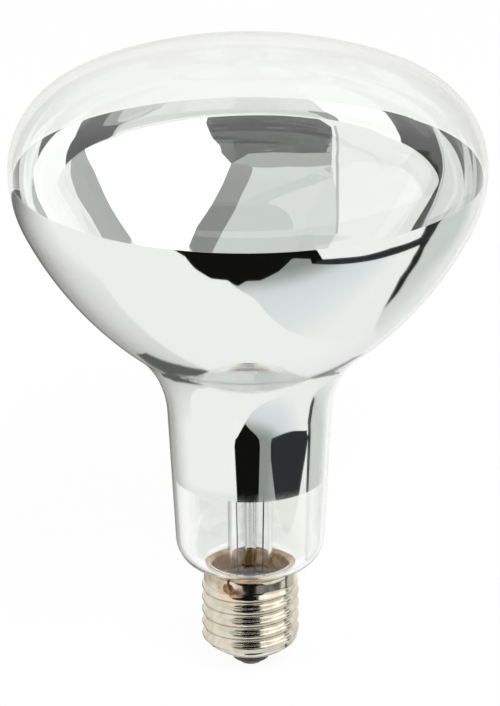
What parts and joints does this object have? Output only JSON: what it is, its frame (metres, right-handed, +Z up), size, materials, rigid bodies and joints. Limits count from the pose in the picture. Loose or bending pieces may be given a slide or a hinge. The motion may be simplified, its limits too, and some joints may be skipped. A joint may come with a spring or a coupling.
{
  "type": "reflector drying bulb",
  "caption": "Reflector heat lamp with a clear domed face, a mirrored bowl and neck, and a screw cap; wire-wound filament on a glass stem.",
  "frame": {"origin": "on the bulb's axis, at the face of the centre contact", "axes": "+Z runs up the axis from the centre contact to the domed face; +X runs from the left lead to the right one across the flat press of the stem"},
  "size_m": [0.125, 0.125, 0.173],
  "materials": {
    "clear_glass": "clear, polished by fire",
    "stem_glass": "clear, polished by fire",
    "mirror_film": "bright evaporated aluminium",
    "tungsten": "dull grey coil",
    "nickel_wire": "satin",
    "seal_wire": "dark red-brown borated copper skin",
    "copper_wire": "dull copper",
    "molybdenum": "satin",
    "nickel_plated_brass": "bright nickel, slightly warm",
    "dark_glass": "opaque, glossy",
    "tinned_brass": "dull grey tin",
    "solder": "dull",
    "cap_cement": "matt, grainy, brown"
  },
  "bodies": {
    "root": {"glass_envelope": "clear_glass", "stem_flare": "stem_glass", "exhaust_tube": "stem_glass", "cane_and_button": "stem_glass", "mirror_coating": "mirror_film", "filament": "tungsten", "inner_lead_left": "nickel_wire", "inner_lead_right": "nickel_wire", "seal_wire_left": "seal_wire", "seal_wire_right": "seal_wire", "outer_lead_side": "copper_wire", "outer_lead_centre": "copper_wire", "screw_shell": "nickel_plated_brass", "base_insulator": "dark_glass", "centre_contact": "tinned_brass", "contact_solder": "solder", "side_solder": "solder", "cement_ring": "cap_cement", "support_wire_1": "molybdenum", "support_wire_2": "molybdenum", "support_wire_3": "molybdenum", "support_wire_4": "molybdenum", "support_wire_5": "molybdenum"}
  },
  "joints": []
}
